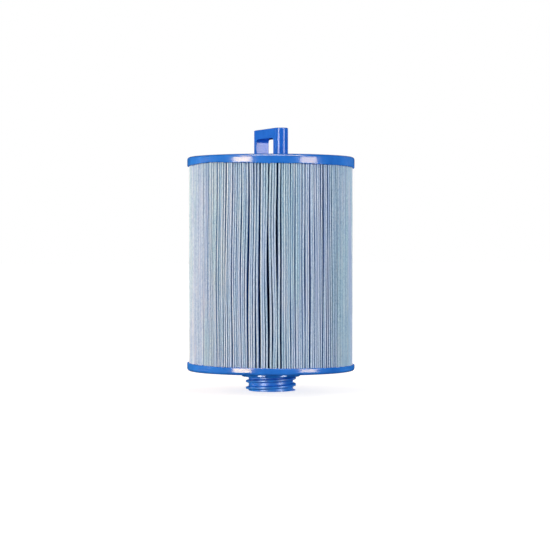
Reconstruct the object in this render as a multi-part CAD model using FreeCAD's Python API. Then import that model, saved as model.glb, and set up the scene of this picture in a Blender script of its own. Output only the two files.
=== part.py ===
"""Threaded pleated filter cartridge for a spa.

Millimetres. The origin is the centre of the threaded nipple's end face, +Z runs up the
cartridge's axis to the handle, and the handle is long in X.

A folded sheet of filter media stands round a perforated core. Both ends of the sheet and
of the core are cast into blue polyurethane end caps. The lower cap also holds the threaded
adapter that the water leaves by, and the upper cap holds a plug that closes the core and
the loop handle.
"""

import FreeCAD
import Part

import math
import os

Z_AXIS = FreeCAD.Vector(0, 0, 1)
CENTRE = FreeCAD.Vector(0, 0, 0)

# ---- heights up the axis ----
THREAD_LENGTH = 13.1          # nipple's end face to the collar
COLLAR_HEIGHT = 5.3           # the collar stands below the lower cap
BODY_HEIGHT = 193.7           # outer face of one cap to the outer face of the other
CAP_FLOOR = 4.6               # polyurethane beyond the media's cut edges
TOP_LIP_HEIGHT = 8.9          # the caps' rims, each from its cap's outer face
BOTTOM_LIP_HEIGHT = 6.6
HANDLE_HEIGHT = 25.7          # above the upper cap's face

CAP_BOTTOM = THREAD_LENGTH + COLLAR_HEIGHT
CAP_TOP = CAP_BOTTOM + BODY_HEIGHT
MEDIA_BOTTOM = CAP_BOTTOM + CAP_FLOOR
MEDIA_TOP = CAP_TOP - CAP_FLOOR

# ---- end caps ----
CAP_RADIUS = 152.4 / 2
CAP_EDGE_ROUND = 2.5          # the outer corner of each cap
LIP_THICKNESS = 1.6
LIP_EDGE_ROUND = 0.6
LIP_INNER_RADIUS = CAP_RADIUS - LIP_THICKNESS

# ---- pleated media ----
MEDIA_RADIUS = 74.4           # over the outer folds
MEDIA_INNER_RADIUS = 25.3     # inside the inner folds, just off the core
SEAM_THICKNESS = 0.8          # the joint between the sheet's two ends
SEAM_ANGLE = 180.0            # degrees from +X
SEAM_SET_BACK = 0.6           # the seam stops this far inside the outer folds

# ---- perforated core ----
CORE_RADIUS = 25.0
CORE_BORE_RADIUS = 22.0
CORE_END_RING = 7.0           # plain wall at each end of a section
CORE_COLUMNS = 12
CORE_RIB_WIDTH = 3.2
CORE_ROWS = 7
CORE_RING_HEIGHT = 2.4        # between two rows of windows
CORE_JOINT_LENGTH = 6.0
CORE_JOINT_RADIUS = 23.5      # halfway through the wall
SLIP_CLEARANCE = 0.1          # radial, wherever one moulding slides into another

# ---- threaded adapter ----
NIPPLE_BORE_RADIUS = 16.5
THREAD_ROOT_RADIUS = 20.2
THREAD_CREST_RADIUS = 22.8
THREAD_PITCH = 6.0
THREAD_CREST_WIDTH = 1.5
THREAD_BASE_WIDTH = 3.5
THREAD_ROOT_OVERLAP = 0.6     # how deep the ridge is set into the nipple's wall
THREAD_START = -1.55          # height of the ridge's middle at +X, on its first turn
COLLAR_RADIUS = 26.6
COLLAR_EDGE_ROUND = 0.8
ADAPTER_FLANGE_RADIUS = 31.0  # cast into the lower cap
ADAPTER_FLANGE_HEIGHT = 2.6
ADAPTER_FLANGE_DEPTH = 1.0    # inside the lower cap's outer face
ADAPTER_SPIGOT_LENGTH = 9.0   # inside the core

# ---- core plug ----
PLUG_HEAD_HEIGHT = 3.0
PLUG_SKIRT_LENGTH = 10.0
PLUG_WALL = 2.2
SOCKET_RADIUS = 9.0
SOCKET_DEPTH = 6.0

# ---- handle ----
HANDLE_LENGTH = 57.15
HANDLE_THICKNESS = 12.7
HANDLE_BAR_HEIGHT = 8.75
HANDLE_POST_LENGTH = 9.7      # along X, with the rounded end
WINDOW_CORNER = 3.2
HANDLE_TOP_ROUND = 1.0
HANDLE_BASE_RADIUS = 33.0
HANDLE_BASE_HEIGHT = 3.4
HANDLE_BASE_PROUD = 0.8       # above the cap's face

# ---- shapes that cut ----
CUT_MARGIN = 1.0              # how far they run past what they cut

# ---- keys that lock a moulding in its cast cap ----
KEYS = 6
KEY_RADIUS = 3.0

HANDLE_BASE_BOTTOM = CAP_TOP + HANDLE_BASE_PROUD - HANDLE_BASE_HEIGHT
CORE_TOP = HANDLE_BASE_BOTTOM - PLUG_HEAD_HEIGHT
CORE_MIDDLE = (MEDIA_BOTTOM + CORE_TOP) / 2


def ring(outer_radius, inner_radius, low, high):
    """A plain tube round the axis."""
    height = high - low
    foot = FreeCAD.Vector(0, 0, low)
    outer = Part.makeCylinder(outer_radius, height, foot)
    return outer.cut(Part.makeCylinder(inner_radius, height, foot))


def disc(radius, low, high):
    return Part.makeCylinder(radius, high - low, FreeCAD.Vector(0, 0, low))


def circles_at(shape, radius, height):
    """The shape's circular edges round the axis, of one radius and height."""
    found = []
    for edge in shape.Edges:
        curve = edge.Curve
        if not isinstance(curve, Part.Circle):
            continue
        on_axis = math.hypot(curve.Center.x, curve.Center.y) < 1e-6
        if on_axis and abs(curve.Radius - radius) < 1e-6 and abs(curve.Center.z - height) < 1e-6:
            found.append(edge)
    return found


def around(shape, count, first_angle=0.0):
    """Copies of a shape, evenly spaced about the axis."""
    copies = []
    for step in range(count):
        copy = shape.copy()
        copy.rotate(CENTRE, Z_AXIS, first_angle + 360 * step / count)
        copies.append(copy)
    return copies


def key_notches(radius, low, high):
    """Round notches in the rim of a moulding, which the cast polyurethane fills."""
    notch = Part.makeCylinder(KEY_RADIUS, high - low, FreeCAD.Vector(radius, 0, low))
    return around(notch, KEYS, 180 / KEYS)


def end_cap(outer_face, inward, lip_height):
    """A cast cap. inward is +1 for the lower cap and -1 for the upper one."""
    floor_end = outer_face + inward * CAP_FLOOR
    lip_end = outer_face + inward * lip_height
    floor = disc(CAP_RADIUS, min(outer_face, floor_end), max(outer_face, floor_end))
    lip = ring(CAP_RADIUS, LIP_INNER_RADIUS, min(floor_end, lip_end), max(floor_end, lip_end))
    cap = floor.fuse(lip).removeSplitter()
    cap = cap.makeFillet(CAP_EDGE_ROUND, circles_at(cap, CAP_RADIUS, outer_face))
    lip_edges = circles_at(cap, CAP_RADIUS, lip_end) + circles_at(cap, LIP_INNER_RADIUS, lip_end)
    return cap.makeFillet(LIP_EDGE_ROUND, lip_edges)


def make_bottom_end_cap(adapter):
    """The lower cap, cast round the adapter's flange and open for its spigot."""
    cap = end_cap(CAP_BOTTOM, 1, BOTTOM_LIP_HEIGHT)
    spigot_way = disc(CORE_RADIUS, CAP_BOTTOM, MEDIA_BOTTOM)
    return cap.cut([adapter, spigot_way])


def make_top_end_cap(handle):
    """The upper cap, cast round the handle's base, the plug's head and the core's end."""
    cap = end_cap(CAP_TOP, -1, TOP_LIP_HEIGHT)
    plug_way = disc(CORE_RADIUS, MEDIA_TOP, HANDLE_BASE_BOTTOM)
    return cap.cut([handle, plug_way])


def seam_slab(inner_radius, outer_radius):
    """A flat radial slab, as tall as the media, where the sheet's two ends meet."""
    slab = Part.makeBox(
        outer_radius - inner_radius,
        SEAM_THICKNESS,
        MEDIA_TOP - MEDIA_BOTTOM,
        FreeCAD.Vector(inner_radius, -SEAM_THICKNESS / 2, MEDIA_BOTTOM),
    )
    slab.rotate(CENTRE, Z_AXIS, SEAM_ANGLE)
    return slab


def make_pleated_media():
    """The pack of pleats as one closed solid: a thick ring, open where its two ends meet."""
    pack = ring(MEDIA_RADIUS, MEDIA_INNER_RADIUS, MEDIA_BOTTOM, MEDIA_TOP)
    return pack.cut(seam_slab(MEDIA_INNER_RADIUS - CUT_MARGIN, MEDIA_RADIUS + CUT_MARGIN))


def make_media_seam():
    """The adhesive that fills the slit between the pack's two ends."""
    slab = seam_slab(MEDIA_INNER_RADIUS - CUT_MARGIN, MEDIA_RADIUS)
    return slab.common(ring(MEDIA_RADIUS - SEAM_SET_BACK, MEDIA_INNER_RADIUS, MEDIA_BOTTOM, MEDIA_TOP))


def core_tube(low, high):
    """A length of core wall with its windows, plain at both ends."""
    tube = ring(CORE_RADIUS, CORE_BORE_RADIUS, low, high)
    pitch = (high - low - 2 * CORE_END_RING + CORE_RING_HEIGHT) / CORE_ROWS
    window_width = 2 * math.pi * CORE_RADIUS / CORE_COLUMNS - CORE_RIB_WIDTH
    windows = []
    for row in range(CORE_ROWS):
        window = Part.makeBox(
            2 * (CORE_RADIUS - CORE_BORE_RADIUS),
            window_width,
            pitch - CORE_RING_HEIGHT,
            FreeCAD.Vector(
                CORE_BORE_RADIUS - (CORE_RADIUS - CORE_BORE_RADIUS) / 2,
                -window_width / 2,
                low + CORE_END_RING + row * pitch,
            ),
        )
        windows += around(window, CORE_COLUMNS)
    return tube.cut(windows)


def make_core_section_lower():
    """From the lower cap to the middle, with a socket in its upper end."""
    tube = core_tube(MEDIA_BOTTOM, CORE_MIDDLE)
    socket_radius = CORE_JOINT_RADIUS + SLIP_CLEARANCE / 2
    return tube.cut(disc(socket_radius, CORE_MIDDLE - CORE_JOINT_LENGTH, CORE_MIDDLE))


def make_core_section_upper():
    """From the middle to the plug, with a spigot that enters the lower section."""
    tube = core_tube(CORE_MIDDLE, CORE_TOP)
    spigot_radius = CORE_JOINT_RADIUS - SLIP_CLEARANCE / 2
    spigot_end = CORE_MIDDLE - CORE_JOINT_LENGTH + SLIP_CLEARANCE
    spigot = ring(spigot_radius, CORE_BORE_RADIUS, spigot_end, CORE_MIDDLE)
    return tube.fuse(spigot).removeSplitter()


def make_core_top_plug():
    """The cup that closes the core and takes the handle's boss in its socket."""
    head = disc(CORE_RADIUS, CORE_TOP, HANDLE_BASE_BOTTOM)
    skirt_radius = CORE_BORE_RADIUS - SLIP_CLEARANCE
    skirt_end = CORE_TOP - PLUG_SKIRT_LENGTH
    skirt = ring(skirt_radius, skirt_radius - PLUG_WALL, skirt_end, CORE_TOP)
    socket_floor = HANDLE_BASE_BOTTOM - SOCKET_DEPTH
    socket_wall = disc(SOCKET_RADIUS + PLUG_WALL, socket_floor - PLUG_WALL, CORE_TOP)
    plug = head.fuse([skirt, socket_wall])
    return plug.cut(disc(SOCKET_RADIUS, socket_floor, HANDLE_BASE_BOTTOM)).removeSplitter()


def thread_ridge():
    """A right-hand ridge of trapezoid section, cut off flat at the nipple's end face."""
    turns = math.ceil((CAP_BOTTOM - THREAD_START) / THREAD_PITCH) + 1  # one below the end face
    helix = Part.makeHelix(THREAD_PITCH, THREAD_PITCH * turns, THREAD_ROOT_RADIUS)
    inner = THREAD_ROOT_RADIUS - THREAD_ROOT_OVERLAP
    flank = (THREAD_BASE_WIDTH - THREAD_CREST_WIDTH) / 2
    slope = flank / (THREAD_CREST_RADIUS - THREAD_ROOT_RADIUS)
    inner_half = THREAD_BASE_WIDTH / 2 + slope * THREAD_ROOT_OVERLAP
    crest_half = THREAD_CREST_WIDTH / 2
    corners = [
        FreeCAD.Vector(inner, 0, -inner_half),
        FreeCAD.Vector(THREAD_CREST_RADIUS, 0, -crest_half),
        FreeCAD.Vector(THREAD_CREST_RADIUS, 0, crest_half),
        FreeCAD.Vector(inner, 0, inner_half),
    ]
    section = Part.makePolygon(corners + [corners[0]])
    ridge = Part.Wire(helix).makePipeShell([section], True, True)
    ridge.translate(FreeCAD.Vector(0, 0, THREAD_START - THREAD_PITCH))
    inside_collar = THREAD_LENGTH + COLLAR_HEIGHT / 2
    return ridge.common(ring(COLLAR_RADIUS, inner - CUT_MARGIN, 0, inside_collar))


def make_threaded_adapter():
    """Nipple, collar, cast-in flange and core spigot, moulded in one with a bore through."""
    flange_bottom = CAP_BOTTOM + ADAPTER_FLANGE_DEPTH
    flange_top = flange_bottom + ADAPTER_FLANGE_HEIGHT
    spigot_top = MEDIA_BOTTOM + ADAPTER_SPIGOT_LENGTH
    collar = disc(COLLAR_RADIUS, THREAD_LENGTH, CAP_BOTTOM)
    collar = collar.makeFillet(COLLAR_EDGE_ROUND, circles_at(collar, COLLAR_RADIUS, THREAD_LENGTH))
    flange = disc(ADAPTER_FLANGE_RADIUS, flange_bottom, flange_top)
    flange = flange.cut(key_notches(ADAPTER_FLANGE_RADIUS, flange_bottom, flange_top))
    neck = disc(CORE_RADIUS, CAP_BOTTOM, MEDIA_BOTTOM)
    spigot = disc(CORE_BORE_RADIUS - SLIP_CLEARANCE, MEDIA_BOTTOM, spigot_top)
    nipple = disc(THREAD_ROOT_RADIUS, 0, THREAD_LENGTH)
    solid = nipple.fuse([collar, neck, flange, spigot, thread_ridge()])
    return solid.cut(disc(NIPPLE_BORE_RADIUS, 0, spigot_top)).removeSplitter()


def stadium(length, width, low, high):
    """A bar with half-round ends, long in X."""
    radius = width / 2
    straight = length - width
    box = Part.makeBox(straight, width, high - low, FreeCAD.Vector(-straight / 2, -radius, low))
    ends = [
        Part.makeCylinder(radius, high - low, FreeCAD.Vector(side * straight / 2, 0, low))
        for side in (-1, 1)
    ]
    return box.fuse(ends).removeSplitter()


def make_carry_handle():
    """A loop on a round base, whose boss enters the plug and whose rim is cast into the cap."""
    base_top = CAP_TOP + HANDLE_BASE_PROUD
    loop_top = CAP_TOP + HANDLE_HEIGHT
    loop = stadium(HANDLE_LENGTH, HANDLE_THICKNESS, base_top, loop_top)
    top_face = max(loop.Faces, key=lambda face: face.CenterOfMass.z)
    loop = loop.makeFillet(HANDLE_TOP_ROUND, top_face.Edges)
    window_length = HANDLE_LENGTH - 2 * HANDLE_POST_LENGTH
    window_top = loop_top - HANDLE_BAR_HEIGHT
    window = Part.makeBox(
        window_length,
        2 * HANDLE_THICKNESS,
        window_top - base_top,
        FreeCAD.Vector(-window_length / 2, -HANDLE_THICKNESS, base_top),
    )
    corners = [
        edge
        for edge in window.Edges
        if edge.CenterOfMass.z > window_top - WINDOW_CORNER / 2
        and abs(edge.CenterOfMass.x) > window_length / 4
    ]
    loop = loop.cut(window.makeFillet(WINDOW_CORNER, corners))
    base = disc(HANDLE_BASE_RADIUS, HANDLE_BASE_BOTTOM, base_top)
    base = base.cut(key_notches(HANDLE_BASE_RADIUS, HANDLE_BASE_BOTTOM, base_top))
    boss_end = HANDLE_BASE_BOTTOM - SOCKET_DEPTH + SLIP_CLEARANCE
    boss = disc(SOCKET_RADIUS - SLIP_CLEARANCE, boss_end, HANDLE_BASE_BOTTOM)
    return base.fuse([boss, loop]).removeSplitter()


def export(name, shape):
    """Writes one sub-part, as a single solid wherever it is one."""
    if len(shape.Solids) == 1:
        shape = shape.Solids[0]
    shape.exportStep(os.path.join("parts", name + ".step"))
    box = shape.BoundBox
    print(f"{name}: valid {shape.isValid()}, {len(shape.Solids)} solid, {shape.Volume:.0f} mm3, "
          f"z {box.ZMin:.2f} to {box.ZMax:.2f}")


def main():
    os.makedirs("parts", exist_ok=True)
    adapter = make_threaded_adapter()
    handle = make_carry_handle()
    export("threaded_adapter", adapter)
    export("carry_handle", handle)
    export("bottom_end_cap", make_bottom_end_cap(adapter))
    export("top_end_cap", make_top_end_cap(handle))
    export("core_section_lower", make_core_section_lower())
    export("core_section_upper", make_core_section_upper())
    export("core_top_plug", make_core_top_plug())
    export("pleated_media", make_pleated_media())
    export("media_seam", make_media_seam())


main()
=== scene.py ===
"""Looks of the threaded pleated filter cartridge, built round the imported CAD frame.

Blender 4.5, metres, +Z up the cartridge's axis. The caps, handle, adapter, pleated sheet
and seam are finished meshes that stand for their CAD nodes. The core and its plug keep
their CAD meshes and get a material.
"""

import math
import random

import bmesh
import bpy
import numpy as np
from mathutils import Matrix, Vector


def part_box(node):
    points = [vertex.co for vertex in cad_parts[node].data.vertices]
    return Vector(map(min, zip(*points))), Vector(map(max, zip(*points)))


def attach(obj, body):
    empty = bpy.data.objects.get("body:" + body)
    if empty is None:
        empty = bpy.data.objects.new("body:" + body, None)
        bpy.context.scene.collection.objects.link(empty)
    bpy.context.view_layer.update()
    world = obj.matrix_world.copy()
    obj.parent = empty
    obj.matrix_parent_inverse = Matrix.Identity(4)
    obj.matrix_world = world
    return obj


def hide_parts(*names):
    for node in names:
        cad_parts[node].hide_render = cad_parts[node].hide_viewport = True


MM = 0.001
TURN = 2 * math.pi

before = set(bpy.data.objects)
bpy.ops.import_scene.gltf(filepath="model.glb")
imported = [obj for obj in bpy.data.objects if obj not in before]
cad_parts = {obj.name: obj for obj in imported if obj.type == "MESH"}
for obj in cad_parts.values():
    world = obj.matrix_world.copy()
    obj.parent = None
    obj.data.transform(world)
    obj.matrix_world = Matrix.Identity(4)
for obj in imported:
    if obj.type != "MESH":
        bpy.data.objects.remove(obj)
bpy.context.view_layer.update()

# ---- places read from the frame ----
TOP_CAP_LOW, TOP_CAP_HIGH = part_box("top_end_cap")
BOTTOM_CAP_LOW, BOTTOM_CAP_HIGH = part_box("bottom_end_cap")
MEDIA_LOW, MEDIA_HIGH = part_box("pleated_media")
HANDLE_LOW, HANDLE_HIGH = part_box("carry_handle")

CAP_RADIUS = TOP_CAP_HIGH.x
CAP_TOP = TOP_CAP_HIGH.z
CAP_BOTTOM = BOTTOM_CAP_LOW.z
MEDIA_RADIUS = MEDIA_HIGH.x
MEDIA_BOTTOM = MEDIA_LOW.z
MEDIA_TOP = MEDIA_HIGH.z
CORE_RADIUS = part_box("core_section_upper")[1].x
PLUG_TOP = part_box("core_top_plug")[1].z
ADAPTER_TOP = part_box("threaded_adapter")[1].z

# ---- viewpoint, at the photograph's angle ----
CAMERA_AZIMUTH = math.radians(66)      # 0 looks along +Y
CAMERA_DISTANCE = 1.731
CAMERA_HEIGHT = 0.1305
CAMERA_LENS = 124.4                    # millimetres, on a sensor 36 wide
CAMERA_SHIFT = (0.0075, -0.0507)
FRONT = CAMERA_AZIMUTH - math.pi / 2   # direction from the axis to the camera
RIGHT = CAMERA_AZIMUTH                 # direction to the viewer's right

# ---- keys that lock a moulding in its cast cap ----
KEYS = 6
KEY_RADIUS = 3.0 * MM
FLANGE_RADIUS = 31.0 * MM
FLANGE_LOW = CAP_BOTTOM + 1.0 * MM
FLANGE_HIGH = FLANGE_LOW + 2.6 * MM
FIT = 0.03 * MM                        # kept between two skins that touch

# ---- pleats: folds and the gaps between them, at the outer radius ----
PLEATS = 204
PLEAT_ROWS = 32                        # levels of points up the sheet
FOLD_WIDTH = 1.78 * MM
FOLD_SPREAD = (0.86, 1.12)             # shares of FOLD_WIDTH
FOLD_WAVER = 0.07                      # how much a fold's width changes along the height
CLOSE_GAP = 0.32 * MM
CLOSE_GAP_SPREAD = 0.6                 # spread of the logarithm
OPEN_GAP = 1.1 * MM
LEAST_GAP = 0.05 * MM
GAP_WAVER = 0.5
PROUD_GAP = 0.65 * MM                  # folds beside a wider gap stand out to the full radius
PULL_TO_EVEN = 0.7                     # share of the folds' common drift that is taken back
LEAST_ROOM = 0.04 * MM                 # kept between the walls of two folds

# Degrees from the camera's side where pleats stand apart, and how far, against OPEN_GAP.
# The angles aren't this script's own: a program measured dark lines in the photograph. Most are
# its numbers, rounded, and those near 0 were moved to fit, which is still an open failure.
FRONT_OPEN_VALLEYS = (
    (-52, 0.8), (-42.5, 0.6), (-37, 0.9), (-31, 0.8), (-25, 1.0), (-18, 0.8), (-12.6, 1.5),
    (-9, 0.7), (-7.5, 1.2), (-5.7, 1.5), (-2.4, 0.7), (-0.9, 1.5), (1.0, 0.9), (4.9, 1.6),
    (6.7, 1.4), (9.8, 0.7), (13.3, 0.7), (17, 1.0), (22.4, 0.7), (24.3, 1.1), (28.3, 0.9),
    (33.5, 0.6), (36.6, 0.9), (38.5, 1.1), (41, 1.0), (43, 0.7), (45, 0.9), (51.4, 0.9),
)
FRONT_REACH = math.radians(60)         # past this the open valleys fall at random
FRONT_LOOSE_REACH = math.radians(14)   # within this of the front no valley is quite closed
LOOSE_SHARE = (0.25, 0.5)              # shares of OPEN_GAP
BACK_SHARE = (0.4, 1.1)
BACK_STEPS = (2, 4, 6, 8)              # degrees from one random open valley to the next
SEAM_ANGLE = math.pi

# ---- the section of one pleat ----
CROWN_TURNS = tuple(math.radians(degrees) for degrees in (-90, -58, -28, 0, 28, 58, 90))
CROWN_SUNK = (0.05 * MM, 0.4 * MM)     # how far a fold that isn't proud falls short of the radius
FRONT_SUNK_SHARE = 2.2                 # times that within FRONT_LOOSE_REACH
CROWN_WAVER = 0.1 * MM
CROWN_DEPTH = (0.7 * MM, 1.0 * MM)     # height of the rounded crown
CROWN_LEAN = 0.35
INNER_FOLD_RADIUS = CORE_RADIUS + 0.5 * MM
INNER_FOLD_HALF = 0.13 * MM
INNER_FOLD_DEPTH = 0.2 * MM
WALL_PARTS = (0.06, 0.4)               # places of a wall's points, from the crown to the inner fold


# ---------------------------------------------------------------- angles and waves

def signed_turn(angle):
    """The same angle, or array of angles, from -pi to pi."""
    return (angle + math.pi) % TURN - math.pi


def wave(angle, seed, low=2, high=9):
    """A smooth wobble round the axis, from about -1 to 1."""
    source = random.Random(seed)
    total = 0.0
    weight = 0.0
    for order in range(low, high):
        share = 1 / order
        total += share * math.sin(order * angle + source.uniform(0, TURN))
        weight += share
    return 1.6 * total / weight


def waver(source, rows, count, waves=4):
    """count smooth curves up the height, each from about -1 to 1."""
    height = np.linspace(0, 1, rows)
    curves = np.zeros((count, rows))
    for k in range(count):
        for order in range(1, waves + 1):
            phase = math.pi * order * height + source.uniform(0, TURN)
            curves[k] += source.gauss(0, 0.6 / order) * np.sin(phase)
    return curves


def keyed_radius(radius, angle):
    """Radius of a rim with its round key notches, at this angle."""
    step = TURN / KEYS
    off = (angle % step) - step / 2
    if radius * abs(math.sin(off)) >= KEY_RADIUS:
        return radius
    return radius * math.cos(off) - math.sqrt(KEY_RADIUS ** 2 - (radius * math.sin(off)) ** 2)


# ---------------------------------------------------------------- mesh helpers

def new_piece(name, vertices, faces, smooth=True):
    mesh = bpy.data.meshes.new(name)
    mesh.from_pydata([tuple(v) for v in vertices], [], faces)
    mesh.update()
    mesh.polygons.foreach_set("use_smooth", [smooth] * len(mesh.polygons))
    piece = bpy.data.objects.new(name, mesh)
    bpy.context.scene.collection.objects.link(piece)
    return piece


def turned(name, count, profile):
    """A closed skin round the axis. profile gives the closed outline of (radius, z) at an angle."""
    angles = [TURN * c / count for c in range(count)]
    columns = [profile(a) for a in angles]
    vertices, faces = [], []
    for a, column in zip(angles, columns):
        vertices += [(r * math.cos(a), r * math.sin(a), z) for r, z in column]
    length = len(columns[0])
    for c in range(count):
        here, there = c * length, (c + 1) % count * length
        for i in range(length):
            j = (i + 1) % length
            faces.append((here + i, there + i, there + j, here + j))
    piece = new_piece(name, vertices, faces)
    bm = bmesh.new()
    bm.from_mesh(piece.data)
    bmesh.ops.recalc_face_normals(bm, faces=bm.faces)
    bm.to_mesh(piece.data)
    bm.free()
    return piece


def band_faces(rows, length):
    """Faces between rows of points, each row a closed ring of this many points."""
    faces = []
    for row in range(rows - 1):
        here, above = row * length, (row + 1) * length
        for i in range(length):
            j = (i + 1) % length
            faces.append((here + i, here + j, above + j, above + i))
    return faces


def arc(centre, radius, start, end, steps):
    """Points on an arc in the (radius, z) plane, angles in degrees."""
    points = []
    for i in range(steps + 1):
        a = math.radians(start + (end - start) * i / steps)
        points.append((centre[0] + radius * math.cos(a), centre[1] + radius * math.sin(a)))
    return points


def run(start, end, steps):
    """Points from start up to, but without, end."""
    return [
        (start[0] + (end[0] - start[0]) * i / steps, start[1] + (end[1] - start[1]) * i / steps)
        for i in range(steps)
    ]


def join(piece, extra):
    """Adds the mesh of extra to piece, with its normals as they are, and removes extra."""
    both = [piece, extra]
    with bpy.context.temp_override(active_object=piece, object=piece, selected_objects=both,
                                   selected_editable_objects=both):
        bpy.ops.object.join()


# ---------------------------------------------------------------- pleated sheet

def nearest_gap(angle):
    """Index of the valley nearest this angle, were all pleats even."""
    return round(angle % TURN / TURN * PLEATS) - 1


def pleat_widths(source):
    """Widths of each fold and of the gap after it, before they waver along the height."""
    folds = [FOLD_WIDTH * source.uniform(*FOLD_SPREAD) for _ in range(PLEATS)]
    gaps = [CLOSE_GAP * math.exp(source.gauss(0, CLOSE_GAP_SPREAD)) for _ in range(PLEATS)]
    for k in range(PLEATS):
        if abs(signed_turn(TURN * (k + 1) / PLEATS - FRONT)) < FRONT_LOOSE_REACH:
            gaps[k] = OPEN_GAP * source.uniform(*LOOSE_SHARE)
    for degrees, share in FRONT_OPEN_VALLEYS:
        gaps[nearest_gap(FRONT + math.radians(degrees))] = OPEN_GAP * share
    angle = FRONT + FRONT_REACH
    while angle < FRONT + TURN - FRONT_REACH:
        gaps[nearest_gap(angle)] = OPEN_GAP * source.uniform(*BACK_SHARE)
        angle += math.radians(source.choice(BACK_STEPS))
    gaps[nearest_gap(SEAM_ANGLE)] = OPEN_GAP
    return np.array(folds), np.array(gaps)


def smooth_round(values, reach):
    """Running mean of an array round the pleats."""
    total = sum(np.roll(values, shift, axis=0) for shift in range(-reach, reach + 1))
    return total / (2 * reach + 1)


def pleat_layout():
    """Each fold's middle and half width as angles at each height, and whether it stands proud."""
    source = random.Random(11)
    folds, gaps = pleat_widths(source)
    fold_width = folds[:, None] * (1 + FOLD_WAVER * waver(source, PLEAT_ROWS, PLEATS))
    gap_width = gaps[:, None] * (1 + GAP_WAVER * waver(source, PLEAT_ROWS, PLEATS, 3))
    gap_width = np.maximum(gap_width, LEAST_GAP)
    ends = np.cumsum(fold_width + gap_width, axis=0)
    scale = TURN / ends[-1]
    middle = (ends - gap_width - fold_width / 2) * scale
    half = fold_width / 2 * scale
    even = TURN * (np.arange(PLEATS)[:, None] + 0.5) / PLEATS
    middle -= PULL_TO_EVEN * smooth_round(middle - even, 12)
    room = (np.roll(middle, -1, axis=0) - middle) % TURN
    taken = half + np.roll(half, -1, axis=0) + LEAST_ROOM / MEDIA_RADIUS
    squeeze = np.minimum(1, room / taken)
    half *= np.minimum(squeeze, np.roll(squeeze, 1, axis=0))
    proud = (gaps > PROUD_GAP) | (np.roll(gaps, 1) > PROUD_GAP)
    return middle, half, proud


def crown_points(middle, half, crown, depth, lean):
    """Points (angle, radius) over one fold's rounded outer edge."""
    points = []
    for a in CROWN_TURNS:
        across = math.sin(a) + lean * 0.5 * math.cos(a) ** 2
        points.append((middle + across * half, crown - depth * (1 - math.cos(a))))
    return points


def valley_points(start, start_radius, end, end_radius, valley):
    """Points (angle, radius) down one fold's wall, round the inner fold and up the next wall."""
    left = valley - INNER_FOLD_HALF / INNER_FOLD_RADIUS
    right = valley + INNER_FOLD_HALF / INNER_FOLD_RADIUS
    deep = INNER_FOLD_RADIUS + INNER_FOLD_DEPTH
    points = []
    for part in WALL_PARTS:
        points.append((start + (left - start) * part, start_radius + (deep - start_radius) * part))
    points += [(left, deep), (valley, INNER_FOLD_RADIUS), (right, deep)]
    for part in reversed(WALL_PARTS):
        points.append((end + (right - end) * part, end_radius + (deep - end_radius) * part))
    return points


def make_pleated_sheet(layout):
    """The filter sheet: one skin folded in and out between the caps' lips and the core."""
    middle, half, proud = layout
    source = random.Random(23)
    sunk = np.array([source.uniform(*CROWN_SUNK) for _ in range(PLEATS)])
    near_front = np.abs(signed_turn(middle[:, 0] - FRONT)) < FRONT_LOOSE_REACH
    sunk = np.where(near_front, FRONT_SUNK_SHARE * sunk, sunk)
    crown = MEDIA_RADIUS - np.where(proud, 0.0, sunk)
    crown = crown[:, None] - CROWN_WAVER * np.abs(waver(source, PLEAT_ROWS, PLEATS, 3))
    depth = [source.uniform(*CROWN_DEPTH) for _ in range(PLEATS)]
    lean = [source.uniform(-CROWN_LEAN, CROWN_LEAN) for _ in range(PLEATS)]
    vertices = []
    for row, z in enumerate(np.linspace(MEDIA_BOTTOM, MEDIA_TOP, PLEAT_ROWS)):
        ring = []
        for k in range(PLEATS):
            following = (k + 1) % PLEATS
            wrap = TURN if following == 0 else 0.0
            ring += crown_points(middle[k, row], half[k, row], crown[k, row], depth[k], lean[k])
            ring += valley_points(
                middle[k, row] + half[k, row],
                crown[k, row] - depth[k],
                middle[following, row] - half[following, row] + wrap,
                crown[following, row] - depth[following],
                TURN * (k + 1) / PLEATS)
        vertices += [(r * math.cos(a), r * math.sin(a), z) for a, r in ring]
    return new_piece("pleated_sheet", vertices, band_faces(PLEAT_ROWS, len(vertices) // PLEAT_ROWS))


# ---------------------------------------------------------------- end caps

EDGE_ROUND = 2.5 * MM
LIP_WALL = 1.6 * MM
LIP_ROUND = 0.62 * MM                  # height of the top lip's rounding
HANDLE_BASE_RADIUS = 33.0 * MM
CAP_COLUMNS = PLEATS * 8
RIM_WAVER = 0.06 * MM
RIM_INSET = 0.07 * MM                  # keeps the wavering rim inside CAP_RADIUS
CREEP_RANGE = (0.1, 1.6)               # of the resin into a valley, against CREEP_HEIGHT
CREEP_HEIGHT = 0.45 * MM
SHOULDER = 0.8 * MM                    # from the rounded edge to the face
TOP_DISH = 0.10 * MM                   # how far the resin sank as it set
BOTTOM_DISH = 0.08 * MM
# Height of each lip over the CAD lip: mean, change to the viewer's right and towards FRONT.
TOP_LIP_TILT = (0.35 * MM, -0.7 * MM, 0.5 * MM)
BOTTOM_LIP_TILT = (-0.45 * MM, -0.9 * MM, 0.1 * MM)
TOP_LIP_RAGGED = 0.35 * MM
BOTTOM_LIP_RAGGED = 0.2 * MM
SHORT_LIP = 1.1 * MM                   # how much shorter the top lip is at SHORT_LIP_TURN
SHORT_LIP_TURN = math.radians(-42)     # from FRONT
SHORT_LIP_REACH = math.radians(18)


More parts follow.
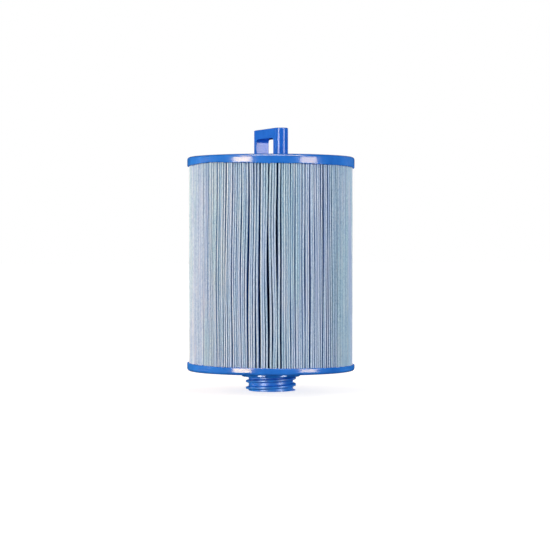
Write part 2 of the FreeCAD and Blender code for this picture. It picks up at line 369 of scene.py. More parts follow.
def lip_scallops(middles, seed):
    """Function of angle: how far the resin has crept into the valley here, 0 on a fold."""
    source = random.Random(seed)
    creep = [source.uniform(*CREEP_RANGE) for _ in range(PLEATS)]
    order = np.argsort(middles)
    half_step = 0.5 * TURN / PLEATS

    def scallop(angle):
        off = signed_turn(angle - middles[order])
        nearest = int(np.argmin(np.abs(off)))
        side = nearest if off[nearest] > 0 else nearest - 1
        return CREEP_HEIGHT * creep[side] * min(1.0, abs(off[nearest]) / half_step) ** 2

    return scallop


def tilted(tilt, angle):
    mean, right, front = tilt
    return mean + right * math.cos(angle - RIGHT) + front * math.cos(angle - FRONT)


def make_top_cap(layout):
    """Upper cap: its lip laps over the folds, and a keyed pocket takes the handle's base."""
    scallop = lip_scallops(layout[0][:, -1] % TURN, 41)
    inner = CAP_RADIUS - LIP_WALL

    def lip_height(a):
        short = signed_turn(a - FRONT - SHORT_LIP_TURN) / SHORT_LIP_REACH
        ragged = TOP_LIP_RAGGED * wave(a, 3, 9, 40) - scallop(a)
        return TOP_CAP_LOW.z + tilted(TOP_LIP_TILT, a) + SHORT_LIP * math.exp(-short ** 2) + ragged

    def profile(a):
        lip = lip_height(a) + LIP_ROUND
        bulge = RIM_WAVER * wave(a, 5, 2, 7) - RIM_INSET
        outer = CAP_RADIUS + bulge
        half_wall = (LIP_WALL + bulge) / 2
        edge = outer - EDGE_ROUND
        sink = TOP_DISH * (1 + wave(a, 8, 2, 6))
        pocket = keyed_radius(HANDLE_BASE_RADIUS, a)
        points = run((CORE_RADIUS, MEDIA_TOP), (inner, MEDIA_TOP), 3)
        points += run((inner, MEDIA_TOP), (inner, lip), 4)
        points += arc((outer - half_wall, lip), half_wall, 180, 360, 8)
        points += run((outer, lip + LIP_ROUND), (outer, CAP_TOP - EDGE_ROUND), 5)
        points += arc((edge, CAP_TOP - EDGE_ROUND), EDGE_ROUND, 0, 90, 9)
        points += run((edge - SHOULDER, CAP_TOP - 0.02 * MM),
                      (HANDLE_BASE_RADIUS + 2.5 * MM, CAP_TOP - 0.25 * MM - sink), 8)
        # The resin rises a little to the edge of the pocket.
        points += [
            (HANDLE_BASE_RADIUS + 1.2 * MM, CAP_TOP - 0.2 * MM - sink / 2),
            (pocket + 0.35 * MM, CAP_TOP - 0.05 * MM),
            (pocket + 0.04 * MM, CAP_TOP - 0.12 * MM),
            (pocket, CAP_TOP - 1.0 * MM),
            (pocket, PLUG_TOP),
            (CORE_RADIUS, PLUG_TOP),
        ]
        return points

    return turned("top_cap_casting", CAP_COLUMNS, profile)


def make_bottom_cap(layout):
    """Lower cap: its lip laps over the folds, and a keyed pocket holds the adapter's flange."""
    scallop = lip_scallops(layout[0][:, 0] % TURN, 43)
    inner = CAP_RADIUS - LIP_WALL
    hole = CORE_RADIUS

    def lip_height(a):
        ragged = BOTTOM_LIP_RAGGED * wave(a, 13, 3, 24) + scallop(a)
        return BOTTOM_CAP_HIGH.z + tilted(BOTTOM_LIP_TILT, a) + ragged

    def profile(a):
        bulge = RIM_WAVER * wave(a, 15, 2, 7) - RIM_INSET
        outer = CAP_RADIUS + bulge
        half_wall = (LIP_WALL + bulge) / 2
        lip = lip_height(a) - half_wall
        edge = outer - EDGE_ROUND
        sink = BOTTOM_DISH * (1 + wave(a, 18, 2, 6))
        pocket = keyed_radius(FLANGE_RADIUS, a)
        points = run((hole, CAP_BOTTOM), (edge - SHOULDER, CAP_BOTTOM + sink / 2), 9)
        points += arc((edge, CAP_BOTTOM + EDGE_ROUND), EDGE_ROUND, 270, 360, 9)
        points += run((outer, CAP_BOTTOM + EDGE_ROUND + 0.4 * MM), (outer, lip), 4)
        points += arc((outer - half_wall, lip), half_wall, 0, 180, 8)
        points += run((inner, lip - 0.2 * MM), (inner, MEDIA_BOTTOM), 3)
        points += run((inner, MEDIA_BOTTOM), (hole, MEDIA_BOTTOM), 3)
        points += [
            (hole, MEDIA_BOTTOM),
            (hole, FLANGE_HIGH),
            (pocket, FLANGE_HIGH),
            (pocket, FLANGE_LOW),
            (hole, FLANGE_LOW),
        ]
        return points

    return turned("bottom_cap_casting", CAP_COLUMNS, profile)


# ---------------------------------------------------------------- threaded adapter

BORE_RADIUS = 16.5 * MM
BORE_EDGE = 0.4 * MM                   # chamfer at both ends of the bore
ROOT_RADIUS = 20.2 * MM
CREST_RADIUS = 22.8 * MM
PITCH = 6.0 * MM
RIDGE_HALF = 1.78 * MM                 # half the thread's width at its foot
RIDGE_FLANK = 1.05 * MM
THREAD_START = -1.55 * MM
THREAD_LENGTH = 13.1 * MM
THREAD_LOW = 0.25 * MM                 # top of the end face's chamfer
THREAD_ROWS = 84
END_CHAMFER = 0.4 * MM
LEAD_IN = 0.9 * MM                     # height over which the first turn grows to full height
FILLET = 0.5 * MM                      # under the collar
FILLET_REACH = 0.6 * MM
COLLAR_RADIUS = 26.6 * MM
COLLAR_ROUND = 0.8 * MM
SPIGOT_RADIUS = 21.9 * MM
SPIGOT_EDGE = 0.5 * MM
ADAPTER_COLUMNS = 288


def ridge_height(angle, z):
    """How far the thread stands out of the nipple here."""
    middle = THREAD_START + PITCH * angle / TURN
    off = abs((z - middle + PITCH / 2) % PITCH - PITCH / 2)
    slope = min(1.0, max(0.0, (RIDGE_HALF - off) / RIDGE_FLANK))
    rounded = slope * slope * (3 - 2 * slope)
    lead_in = min(1.0, 0.55 + z / LEAD_IN)
    return (CREST_RADIUS - ROOT_RADIUS) * (0.45 * slope + 0.55 * rounded) * lead_in


def thread_side(angle):
    """Outline of the threaded side, from the end face up to the collar."""
    points = [(ROOT_RADIUS - END_CHAMFER, 0.0)]
    for i in range(THREAD_ROWS + 1):
        z = THREAD_LOW + (THREAD_LENGTH - THREAD_LOW) * i / THREAD_ROWS
        fillet = FILLET * max(0.0, 1 - (THREAD_LENGTH - z) / FILLET_REACH) ** 2
        points.append((ROOT_RADIUS + max(ridge_height(angle, z), fillet), z))
    return points


def adapter_profile(angle):
    """Closed outline of the nipple, the collar and the sleeve that enters the core."""
    low_edge = COLLAR_RADIUS - COLLAR_ROUND
    collar_low = THREAD_LENGTH + COLLAR_ROUND
    points = [(BORE_RADIUS + BORE_EDGE, 0.0)]
    points += thread_side(angle)
    points.append((low_edge - 1.2 * MM, THREAD_LENGTH))
    points += arc((low_edge, collar_low), COLLAR_ROUND, 270, 360, 7)
    points += run((COLLAR_RADIUS, collar_low + 0.3 * MM), (COLLAR_RADIUS, CAP_BOTTOM), 3)
    points += [
        (COLLAR_RADIUS, CAP_BOTTOM - 0.01 * MM),
        (CORE_RADIUS - FIT, CAP_BOTTOM),
        (CORE_RADIUS - FIT, MEDIA_BOTTOM),
        (SPIGOT_RADIUS, MEDIA_BOTTOM),
    ]
    points += run((SPIGOT_RADIUS, MEDIA_BOTTOM + 0.1 * MM), (SPIGOT_RADIUS, ADAPTER_TOP - SPIGOT_EDGE), 4)
    points += [
        (SPIGOT_RADIUS, ADAPTER_TOP - SPIGOT_EDGE),
        (SPIGOT_RADIUS - SPIGOT_EDGE, ADAPTER_TOP),
        (BORE_RADIUS + BORE_EDGE, ADAPTER_TOP),
    ]
    points += run((BORE_RADIUS, ADAPTER_TOP - BORE_EDGE), (BORE_RADIUS, BORE_EDGE), 10)
    points.append((BORE_RADIUS, BORE_EDGE))
    return points


def flange_profile(angle):
    """Outline of the keyed ring that the lower cap is cast round."""
    edge = keyed_radius(FLANGE_RADIUS, angle) - FIT
    inside = CORE_RADIUS - 0.5 * MM
    low, high = FLANGE_LOW + FIT, FLANGE_HIGH - FIT
    return [(inside, low), (edge, low), (edge, high), (inside, high)]


def make_adapter():
    adapter = turned("adapter_moulding", ADAPTER_COLUMNS, adapter_profile)
    join(adapter, turned("flange", CAP_COLUMNS, flange_profile))
    return adapter


# ---------------------------------------------------------------- handle

HANDLE_THICKNESS = 12.7 * MM
HANDLE_LENGTH = 57.15 * MM
HANDLE_BAR = 8.75 * MM
HANDLE_POST = 9.7 * MM
WINDOW_CORNER = 3.2 * MM
BASE_PROUD = 0.8 * MM
BOSS_RADIUS = 8.9 * MM
OVERLAP = 1.0 * MM                     # how far the loop and the boss run into the base
LOOP_ROUND = 0.7 * MM
BASE_ROUND = 0.2 * MM
BOSS_ROUND = 0.4 * MM
CUT_REACH = 20.0 * MM                  # of the window's cutter, to each side


def prism(outline, offset, name):
    """A solid from a closed outline of points, swept along offset."""
    bm = bmesh.new()
    face = bm.faces.new([bm.verts.new(p) for p in outline])
    swept = bmesh.ops.extrude_face_region(bm, geom=[face])
    moved = [g for g in swept["geom"] if isinstance(g, bmesh.types.BMVert)]
    bmesh.ops.translate(bm, verts=moved, vec=offset)
    bmesh.ops.recalc_face_normals(bm, faces=bm.faces)
    mesh = bpy.data.meshes.new(name)
    bm.to_mesh(mesh)
    bm.free()
    piece = bpy.data.objects.new(name, mesh)
    bpy.context.scene.collection.objects.link(piece)
    return piece


def bake_modifiers(piece):
    """Makes the modifiers' result the piece's own mesh."""
    bpy.context.view_layer.update()
    graph = bpy.context.evaluated_depsgraph_get()
    mesh = bpy.data.meshes.new_from_object(piece.evaluated_get(graph))
    piece.modifiers.clear()
    piece.data = mesh


def cut(piece, tool):
    """Takes tool's shape out of piece, and removes tool."""
    modifier = piece.modifiers.new("cut", "BOOLEAN")
    modifier.operation = "DIFFERENCE"
    modifier.solver = "EXACT"
    modifier.object = tool
    bake_modifiers(piece)
    bpy.data.objects.remove(tool)


def round_edges(piece, width):
    """Rounds every sharp edge of the piece."""
    bevel = piece.modifiers.new("edges", "BEVEL")
    bevel.width = width
    bevel.segments = 3
    bevel.limit_method = "ANGLE"
    bevel.angle_limit = math.radians(40)
    bevel.harden_normals = True
    piece.data.polygons.foreach_set("use_smooth", [True] * len(piece.data.polygons))
    bake_modifiers(piece)


def stadium_outline(length, width, z, steps=40):
    """A bar with half-round ends, long in X."""
    points = []
    for side, start in ((1, -90), (-1, 90)):
        middle = side * (length - width) / 2
        for i in range(steps + 1):
            a = math.radians(start + 180 * i / steps)
            points.append((middle + width / 2 * math.cos(a), width / 2 * math.sin(a), z))
    return points


def window_outline(half, low, high, corner, y, steps=12):
    """An opening in the XZ plane with a square foot and round upper corners."""
    points = [(-half, y, low), (half, y, low)]
    for side, start in ((1, 0), (-1, 90)):
        for i in range(steps + 1):
            a = math.radians(start + 90 * i / steps)
            x = side * (half - corner) + corner * math.cos(a)
            points.append((x, y, high - corner + corner * math.sin(a)))
    return points


def round_outline(radius, z, steps=96):
    turns = [TURN * i / steps for i in range(steps)]
    return [(radius * math.cos(a), radius * math.sin(a), z) for a in turns]


def keyed_outline(radius, z, rim_steps=48, notch_steps=12):
    """A round rim with its key notches."""
    points = []
    reach = 2 * math.asin(KEY_RADIUS / 2 / radius)   # half the angle that a notch's mouth spans
    swing = math.pi / 2 - reach / 2                  # half the angle that the notch turns through
    for key in range(KEYS):
        notch = math.pi / KEYS * (2 * key + 1)
        start = notch - TURN / KEYS + reach
        for i in range(rim_steps + 1):
            a = start + (TURN / KEYS - 2 * reach) * i / rim_steps
            points.append((radius * math.cos(a), radius * math.sin(a), z))
        x, y = radius * math.cos(notch), radius * math.sin(notch)
        for i in range(1, notch_steps):
            a = notch + math.pi - swing * (2 * i / notch_steps - 1)
            points.append((x + KEY_RADIUS * math.cos(a), y + KEY_RADIUS * math.sin(a), z))
    return points


def make_loop(low, high):
    """The handle's loop, which stands on the base, with the window for the fingers."""
    outline = stadium_outline(HANDLE_LENGTH, HANDLE_THICKNESS, low)
    loop = prism(outline, (0, 0, high - low), "handle_moulding")
    half = HANDLE_LENGTH / 2 - HANDLE_POST
    opening = window_outline(half, low - OVERLAP, high - HANDLE_BAR, WINDOW_CORNER, -CUT_REACH)
    cut(loop, prism(opening, (0, 2 * CUT_REACH, 0), "window"))
    round_edges(loop, LOOP_ROUND)
    return loop


def make_handle():
    """Loop handle on its round base, whose boss enters the plug below."""
    base_top = CAP_TOP + BASE_PROUD
    handle = make_loop(base_top - OVERLAP, HANDLE_HIGH.z)
    base_low = PLUG_TOP + FIT
    base = prism(keyed_outline(HANDLE_BASE_RADIUS - FIT, base_low), (0, 0, base_top - base_low), "base")
    round_edges(base, BASE_ROUND)
    join(handle, base)
    boss_low = HANDLE_LOW.z
    boss = prism(round_outline(BOSS_RADIUS, boss_low), (0, 0, PLUG_TOP + OVERLAP - boss_low), "boss")
    round_edges(boss, BOSS_ROUND)
    join(handle, boss)
    return handle


# ---------------------------------------------------------------- seam

SEAM_ROWS = 60
SEAM_HALF = 0.3 * MM
SEAM_INNER = INNER_FOLD_RADIUS + 1.0 * MM
SEAM_OUTER = MEDIA_RADIUS - 0.7 * MM
SEAM_WAVER = 0.15 * MM
SEAM_LUMPS = 0.3                       # how much the bead's width changes


def make_seam():
    """The glued joint of the sheet's two ends, a wavy strip in one valley."""
    vertices = []
    lumps = waver(random.Random(31), SEAM_ROWS, 2, 9)
    for row in range(SEAM_ROWS):
        z = MEDIA_BOTTOM + (MEDIA_TOP - MEDIA_BOTTOM) * row / (SEAM_ROWS - 1)
        edge = SEAM_OUTER + SEAM_WAVER * lumps[0, row]
        bead = SEAM_HALF * (1 + SEAM_LUMPS * abs(lumps[1, row]))
        side = [
            (SEAM_INNER, 0.3 * SEAM_HALF),
            (SEAM_OUTER - 2 * MM, 0.6 * SEAM_HALF),
            (edge - 0.5 * MM, bead),
        ]
        section = [(x, -y) for x, y in side] + [(edge, 0.0)] + side[::-1]
        vertices += [(-x, -y, z) for x, y in section]
    ring = len(vertices) // SEAM_ROWS
    first_end = tuple(range(ring))[::-1]
    last_end = tuple(range((SEAM_ROWS - 1) * ring, SEAM_ROWS * ring))
    return new_piece("seam_glue_line", vertices, band_faces(SEAM_ROWS, ring) + [first_end, last_end])


# ---------------------------------------------------------------- node helpers

def node_tools(name):
    material = bpy.data.materials.new(name)
    material.use_nodes = True
    tree = material.node_tree
    tree.nodes.clear()
    output = tree.nodes.new("ShaderNodeOutputMaterial")
    shader = tree.nodes.new("ShaderNodeBsdfPrincipled")
    tree.links.new(shader.outputs["BSDF"], output.inputs["Surface"])
    return material, tree, shader, output


def object_coordinates(tree, scale=(1, 1, 1)):
    coordinates = tree.nodes.new("ShaderNodeTexCoord")
    mapping = tree.nodes.new("ShaderNodeMapping")
    mapping.inputs["Scale"].default_value = scale
    tree.links.new(coordinates.outputs["Object"], mapping.inputs["Vector"])
    return mapping.outputs["Vector"]


def noise(tree, vector, scale, detail=4.0, roughness=0.55, distortion=0.0):
    node = tree.nodes.new("ShaderNodeTexNoise")
    node.inputs["Scale"].default_value = scale
    node.inputs["Detail"].default_value = detail
    node.inputs["Roughness"].default_value = roughness
    node.inputs["Distortion"].default_value = distortion
    tree.links.new(vector, node.inputs["Vector"])
    return node.outputs["Fac"]


def ramp(tree, value, stops):
    node = tree.nodes.new("ShaderNodeValToRGB")
    elements = node.color_ramp.elements
    while len(elements) < len(stops):
        elements.new(0.5)
    for element, (place, colour) in zip(elements, stops):
        element.position = place
        element.color = (*colour, 1.0)
    tree.links.new(value, node.inputs["Fac"])
    return node.outputs["Color"]


def span(tree, value, low, high, from_low=0.0, from_high=1.0):
    """low where value is from_low or less, up to high where it is from_high or more."""
    node = tree.nodes.new("ShaderNodeMapRange")
    node.inputs["From Min"].default_value = from_low
    node.inputs["From Max"].default_value = from_high
    node.inputs["To Min"].default_value = low
    node.inputs["To Max"].default_value = high
    tree.links.new(value, node.inputs["Value"])
    return node.outputs["Result"]


def bump(tree, height, strength, distance, normal=None):
    node = tree.nodes.new("ShaderNodeBump")
    node.inputs["Strength"].default_value = strength
    node.inputs["Distance"].default_value = distance
    tree.links.new(height, node.inputs["Height"])
    if normal is not None:
        tree.links.new(normal, node.inputs["Normal"])
    return node.outputs["Normal"]


def mixed(tree, factor, first, second):
    """Colour between two sockets or plain colours."""
    node = tree.nodes.new("ShaderNodeMix")
    node.data_type = "RGBA"
    if isinstance(factor, float):
        node.inputs["Factor"].default_value = factor
    else:
        tree.links.new(factor, node.inputs["Factor"])
    for name, value in (("A", first), ("B", second)):
        socket = next(x for x in node.inputs if x.name == name and x.type == "RGBA")
        if isinstance(value, tuple):
            socket.default_value = (*value, 1.0)
        else:
            tree.links.new(value, socket)
    return next(x for x in node.outputs if x.type == "RGBA")


def distance_from_axis(tree):
    flat = object_coordinates(tree, (1.0, 1.0, 0.0))
    length = tree.nodes.new("ShaderNodeVectorMath")
    length.operation = "LENGTH"
    tree.links.new(flat, length.inputs[0])
    return length.outputs["Value"]


def set_colour(tree, shader, cloud, dark, light):
    """Base colour that goes from dark to light with the cloud's value."""
    tree.links.new(ramp(tree, cloud, ((0.3, dark), (0.7, light))), shader.inputs["Base Color"])


# ---------------------------------------------------------------- materials

DEEP_BLUE = (0.020, 0.17, 0.68)
BRIGHT_BLUE = (0.034, 0.24, 0.81)
CAST_SHADE = (1.0, 1.0, 1.0)           # each plastic's share of those blues; the adapter's is raised as painted light and the handle's lowered as painted shade, over a slight change of hue
ADAPTER_HUE_AND_PAINTED_LIGHT = (0.7, 1.25, 1.2)
HANDLE_HUE_AND_PAINTED_SHADE = (0.62, 0.70, 0.86)
CAST_TINT = (1.0, 0.74, 0.26)          # of the reflections
ADAPTER_TINT = (0.92, 0.96, 1.0)
HANDLE_TINT = (1.0, 0.96, 0.82)
MATT_THREAD = 0.34                     # roughness of the thread

FIBRE_STOPS = ((0.38, (0.26, 0.46, 0.68)), (0.5, (0.52, 0.73, 0.90)), (0.6, (0.72, 0.88, 0.98)))
FOLD_TINT = (0.34, 0.51, 0.78)
CREAM = (0.74, 0.78, 0.86)
HUE_STOPS = ((0.40, (0.47, 0.71, 0.76)), (0.60, (0.58, 0.64, 0.84)))
# painted highlight: white laid over the outermost crests of the folds
PAINTED_CREST_HIGHLIGHT = (0.90, 0.95, 1.0)
# painted shade: dark blue in the valleys between the folds
PAINTED_VALLEY_SHADE = (0.025, 0.155, 0.52)
# painted shade: near black deeper inside the valleys
PAINTED_DEEP_SHADE = (0.008, 0.03, 0.13)
FUZZ_TINT = (1.0, 0.80, 0.60, 1.0)


def matt_below(tree, gloss, matt, height):
    """Roughness that is matt below this height, and as given above it."""
    split = tree.nodes.new("ShaderNodeSeparateXYZ")
    tree.links.new(object_coordinates(tree), split.inputs["Vector"])
    above = span(tree, split.outputs["Z"], 0.0, 1.0, height - 0.4 * MM, height)
    mix = tree.nodes.new("ShaderNodeMix")
    mix.data_type = "FLOAT"
    tree.links.new(above, mix.inputs["Factor"])
    mix.inputs["A"].default_value = matt
    tree.links.new(gloss, mix.inputs["B"])
    return mix.outputs["Result"]


def blue_plastic(name, shade, rough_low, rough_high, ripple, tint, shine=0.5):
    """Glossy blue: cloudy pigment scaled by shade, which for some parts is painted light and shade,
    uneven gloss and a slight ripple in the skin.
    """
    deep, bright = (tuple(c * s for c, s in zip(blue, shade)) for blue in (DEEP_BLUE, BRIGHT_BLUE))
    material, tree, shader, _ = node_tools(name)
    where = object_coordinates(tree)
    set_colour(tree, shader, noise(tree, where, 60.0, 5.0, 0.6), deep, bright)
    gloss = span(tree, noise(tree, where, 220.0, 3.0, 0.6), rough_low, rough_high, 0.3, 0.7)
    tree.links.new(matt_below(tree, gloss, MATT_THREAD, THREAD_LENGTH), shader.inputs["Roughness"])
    coarse = bump(tree, noise(tree, where, 70.0, 2.0), 0.2, ripple)
    fine = bump(tree, noise(tree, where, 1400.0, 3.0), 0.08, 0.04 * MM, coarse)
    tree.links.new(fine, shader.inputs["Normal"])
    shader.inputs["IOR"].default_value = 1.5
    shader.inputs["Specular IOR Level"].default_value = shine
    shader.inputs["Specular Tint"].default_value = (*tint, 1.0)
    return material


def media_colour(tree, fibres, reach):
    """Pale cloudy fibres, each fold its own tint, a painted highlight that whitens the outermost crests,
    and painted shade: dark blue in the gaps, near black deeper in.
    """
    folds = noise(tree, object_coordinates(tree, (1.0, 1.0, 0.012)), 430.0, 3.0, 0.7)
    streaks = noise(tree, object_coordinates(tree, (1.0, 1.0, 0.08)), 260.0, 4.0, 0.7)
    patches = noise(tree, object_coordinates(tree, (1.0, 1.0, 0.15)), 48.0, 2.0)
    # Painted highlight on the outermost crests, set by distance from the axis.
    crest_highlight = span(tree, reach, 0.0, 0.8, MEDIA_RADIUS - 0.12 * MM, MEDIA_RADIUS)
    # Painted shade by distance from the axis: dark blue in the valleys, near black deeper in.
    depth = span(tree, reach, 1.0, 0.0, MEDIA_RADIUS - 1.5 * MM, MEDIA_RADIUS - 0.5 * MM)
    inside = span(tree, reach, 0.9, 0.0, MEDIA_RADIUS - 7.0 * MM, MEDIA_RADIUS - 1.2 * MM)
    pale = ramp(tree, fibres, FIBRE_STOPS)
    tinted = mixed(tree, span(tree, folds, 0.0, 1.0, 0.46, 0.62), pale, FOLD_TINT)
    creamy = mixed(tree, span(tree, streaks, 0.0, 0.6, 0.52, 0.64), tinted, CREAM)
    patchy = mixed(tree, 0.34, creamy, ramp(tree, patches, HUE_STOPS))
    # Painted highlight: the outermost crests whitened.
    crest_highlighted = mixed(tree, crest_highlight, patchy, PAINTED_CREST_HIGHLIGHT)
    # Painted shade: dark blue in the valleys, then near black deeper in.
    blue = mixed(tree, depth, crest_highlighted, PAINTED_VALLEY_SHADE)
    return mixed(tree, inside, blue, PAINTED_DEEP_SHADE)


def media_material():
    """Spunbonded polyester: matt and a little fuzzy outside, and slightly translucent."""
    material, tree, shader, output = node_tools("spunbond_polyester")
    where = object_coordinates(tree)
    fibres = noise(tree, object_coordinates(tree, (1.0, 1.0, 0.6)), 620.0, 5.0, 0.8, 0.6)
    reach = distance_from_axis(tree)
    colour = media_colour(tree, fibres, reach)
    tree.links.new(colour, shader.inputs["Base Color"])
    shader.inputs["Roughness"].default_value = 0.8
    shader.inputs["Specular IOR Level"].default_value = 0.1
    fuzz = span(tree, reach, 0.0, 0.8, MEDIA_RADIUS - 1.2 * MM, MEDIA_RADIUS - 0.5 * MM)
    tree.links.new(fuzz, shader.inputs["Sheen Weight"])
    shader.inputs["Sheen Roughness"].default_value = 0.35
    shader.inputs["Sheen Tint"].default_value = FUZZ_TINT
    mottle = bump(tree, noise(tree, where, 500.0, 3.0, 0.6), 0.35, 0.2 * MM)
    tree.links.new(bump(tree, fibres, 0.5, 0.12 * MM, mottle), shader.inputs["Normal"])
    through = tree.nodes.new("ShaderNodeBsdfTranslucent")
    tree.links.new(colour, through.inputs["Color"])
    both = tree.nodes.new("ShaderNodeMixShader")
    both.inputs["Fac"].default_value = 0.05
    tree.links.new(shader.outputs["BSDF"], both.inputs[1])
    tree.links.new(through.outputs["BSDF"], both.inputs[2])
    tree.links.new(both.outputs["Shader"], output.inputs["Surface"])
    return material


def core_material():
    """Off-white moulded plastic with a faint satin grain."""
    material, tree, shader, _ = node_tools("core_plastic")
    where = object_coordinates(tree)
    set_colour(tree, shader, noise(tree, where, 60.0), (0.66, 0.68, 0.69), (0.8, 0.81, 0.8))
    tree.links.new(span(tree, noise(tree, where, 400.0), 0.35, 0.55), shader.inputs["Roughness"])
    tree.links.new(bump(tree, noise(tree, where, 900.0), 0.15, 0.05 * MM), shader.inputs["Normal"])
    return material


def glue_material():
    """Cloudy off-white hot-melt adhesive."""
    material, tree, shader, _ = node_tools("seam_adhesive")
    cloud = noise(tree, object_coordinates(tree), 250.0)
    set_colour(tree, shader, cloud, (0.66, 0.66, 0.6), (0.82, 0.83, 0.8))
    tree.links.new(span(tree, cloud, 0.25, 0.45), shader.inputs["Roughness"])
    tree.links.new(bump(tree, cloud, 0.3, 0.1 * MM), shader.inputs["Normal"])
    return material


def floor_material():
    """Pale studio floor with painted light: it glows, less near the object, and brightens into the white
    backdrop away from it.
    """
    material, tree, shader, _ = node_tools("pale_floor")
    cloud = noise(tree, object_coordinates(tree), 3.0, 3.0)
    set_colour(tree, shader, cloud, (0.38, 0.38, 0.385), (0.40, 0.40, 0.405))
    shader.inputs["Roughness"].default_value = 1.0
    shader.inputs["Specular IOR Level"].default_value = 0.0
    shader.inputs["Emission Color"].default_value = (1, 1, 1, 1)
    # Painted light: the floor's own glow, dimmer near the object.
    floor_painted_glow = span(tree, distance_from_axis(tree), 0.80, 1.0, 0.15, 1.6)
    tree.links.new(floor_painted_glow, shader.inputs["Emission Strength"])
    return material


# ---------------------------------------------------------------- studio

WARM = (1.0, 0.93, 0.86)
NEUTRAL = (1.0, 0.97, 0.93)
LEFT_TURN = -38.2                      # degrees from FRONT
RIGHT_TURN = 51.0
AIM_HEIGHT = 0.12
# The lights that only reflections show, and the lights that only light the surfaces:
# name, turn from FRONT in degrees, distance, height, (width, height), radiance and colour.
GLOSS_LIGHTS = (
    ("softbox_left_gloss", LEFT_TURN, 1.2, 0.10, (0.54, 0.5), 24.0, NEUTRAL),
    ("softbox_right_gloss", RIGHT_TURN, 1.2, 0.10, (0.50, 0.5), 16.0, NEUTRAL),
    ("overhead_gloss", 0.0, 0.8, 1.4, (2.0, 0.8), 16.0, NEUTRAL),
)
SURFACE_LIGHTS = (
    ("softbox_left", LEFT_TURN, 1.4, 0.35, (0.6, 0.9), 6.3, WARM),
    ("softbox_right", RIGHT_TURN, 1.4, 0.35, (0.6, 0.9), 6.3, NEUTRAL),
    ("rim_left", -102.0, 1.2, 0.3, (0.5, 0.9), 13.0, (1.0, 0.69, 0.48)),
    ("rim_right", 135.0, 1.2, 0.3, (0.5, 0.9), 10.0, (1.0, 0.86, 0.72)),
)
# Colour that the world shows to each kind of ray, the later ones over the earlier.
WORLD_COLOURS = (
    (None, (0.14, 0.17, 0.215)),
    ("Is Glossy Ray", (0.012, 0.014, 0.02)),
    ("Is Camera Ray", (1.0, 1.0, 1.0)),
)
FLOOR_REACH = 12.0
FLOOR_DROP = 0.05 * MM


def aimed_light(name, turn, distance, height, size, radiance, colour, gloss):
    """A rectangular softbox that faces the cartridge. radiance is what a mirror would show."""
    lamp = bpy.data.lights.new(name, "AREA")
    lamp.shape = "RECTANGLE"
    lamp.size, lamp.size_y = size
    lamp.energy = radiance * math.pi * size[0] * size[1]
    lamp.color = colour
    azimuth = FRONT + math.radians(turn)
    place = Vector((distance * math.cos(azimuth), distance * math.sin(azimuth), height))
    light = bpy.data.objects.new(name, lamp)
    bpy.context.scene.collection.objects.link(light)
    light.location = place
    aim = Vector((0, 0, AIM_HEIGHT)) - place
    light.rotation_euler = aim.to_track_quat("-Z", "Y").to_euler()
    light.visible_camera = False
    light.visible_glossy = gloss
    light.visible_diffuse = not gloss
    light.visible_transmission = not gloss


def make_lights():
    for light in GLOSS_LIGHTS:
        aimed_light(*light, gloss=True)
    for light in SURFACE_LIGHTS:
        aimed_light(*light, gloss=False)


def make_world():
    """White behind the object, dim and bluish in its shadows, and dark in its reflections."""
    world = bpy.data.worlds.new("studio")
    bpy.context.scene.world = world
    world.use_nodes = True
    tree = world.node_tree
    tree.nodes.clear()
    output = tree.nodes.new("ShaderNodeOutputWorld")
    path = tree.nodes.new("ShaderNodeLightPath")
    shown = None
    for ray, colour in WORLD_COLOURS:
        background = tree.nodes.new("ShaderNodeBackground")
        background.inputs["Color"].default_value = (*colour, 1.0)
        if ray is None:
            shown = background.outputs["Background"]
            continue
        mix = tree.nodes.new("ShaderNodeMixShader")
        tree.links.new(path.outputs[ray], mix.inputs["Fac"])
        tree.links.new(shown, mix.inputs[1])
        tree.links.new(background.outputs["Background"], mix.inputs[2])
        shown = mix.outputs["Shader"]
    tree.links.new(shown, output.inputs["Surface"])


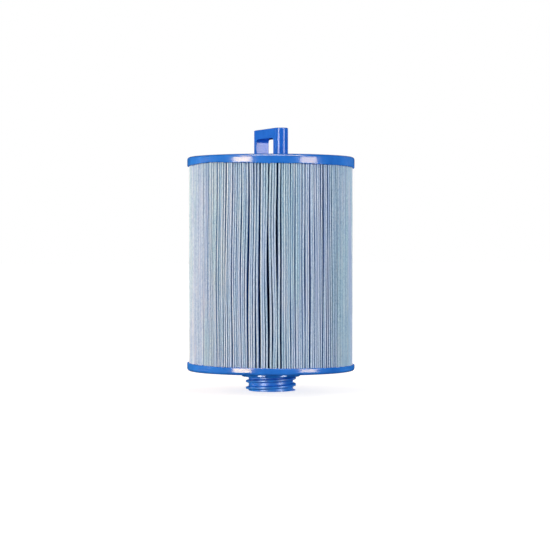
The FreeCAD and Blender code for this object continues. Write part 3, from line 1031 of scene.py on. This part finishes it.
def make_floor():
    corners = [(x * FLOOR_REACH, y * FLOOR_REACH, 0) for x, y in ((-1, -1), (1, -1), (1, 1), (-1, 1))]
    floor = new_piece("floor", corners, [(0, 1, 2, 3)], smooth=False)
    floor.data.materials.append(floor_material())
    floor.location.z = -FLOOR_DROP
    floor.visible_glossy = False
    floor.visible_diffuse = False
    floor.visible_transmission = False
    floor.visible_shadow = False


def make_camera():
    data = bpy.data.cameras.new("camera")
    data.lens = CAMERA_LENS
    data.sensor_width = 36
    data.shift_x, data.shift_y = CAMERA_SHIFT
    data.clip_end = 50
    camera = bpy.data.objects.new("camera", data)
    bpy.context.scene.collection.objects.link(camera)
    back = Vector((math.cos(FRONT), math.sin(FRONT), 0))
    camera.location = back * CAMERA_DISTANCE + Vector((0, 0, CAMERA_HEIGHT))
    camera.rotation_euler = (-back).to_track_quat("-Z", "Y").to_euler()
    bpy.context.scene.camera = camera


# ---------------------------------------------------------------- assembly

def finish_piece(piece, material, slot, *nodes):
    piece.data.materials.clear()
    piece.data.materials.append(material)
    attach(piece, "root")
    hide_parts(*nodes)


def main():
    make_camera()
    make_world()
    make_floor()
    make_lights()
    cast = blue_plastic("cast_polyurethane", CAST_SHADE, 0.12, 0.2, 0.3 * MM, CAST_TINT)
    # painted light: the adapter's blues raised
    moulded = blue_plastic("adapter_abs", ADAPTER_HUE_AND_PAINTED_LIGHT, 0.12, 0.18, 0.06 * MM, ADAPTER_TINT)
    # painted shade: the handle's blues lowered
    satin = blue_plastic("handle_abs", HANDLE_HUE_AND_PAINTED_SHADE, 0.13, 0.2, 0.06 * MM, HANDLE_TINT, 0.27)
    layout = pleat_layout()
    sheet = make_pleated_sheet(layout)
    finish_piece(sheet, media_material(), "filter_media", "pleated_media")
    finish_piece(make_seam(), glue_material(), "seam_adhesive", "media_seam")
    finish_piece(make_top_cap(layout), cast, "cast_polyurethane", "top_end_cap")
    finish_piece(make_bottom_cap(layout), cast, "cast_polyurethane", "bottom_end_cap")
    finish_piece(make_adapter(), moulded, "moulded_plastic", "threaded_adapter")
    finish_piece(make_handle(), satin, "moulded_plastic", "carry_handle")
    core = core_material()
    for node in ("core_section_lower", "core_section_upper", "core_top_plug"):
        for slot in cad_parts[node].material_slots:
            slot.material = core
    scene = bpy.context.scene
    scene.view_settings.view_transform = "Standard"
    scene.view_settings.look = "None"


main()
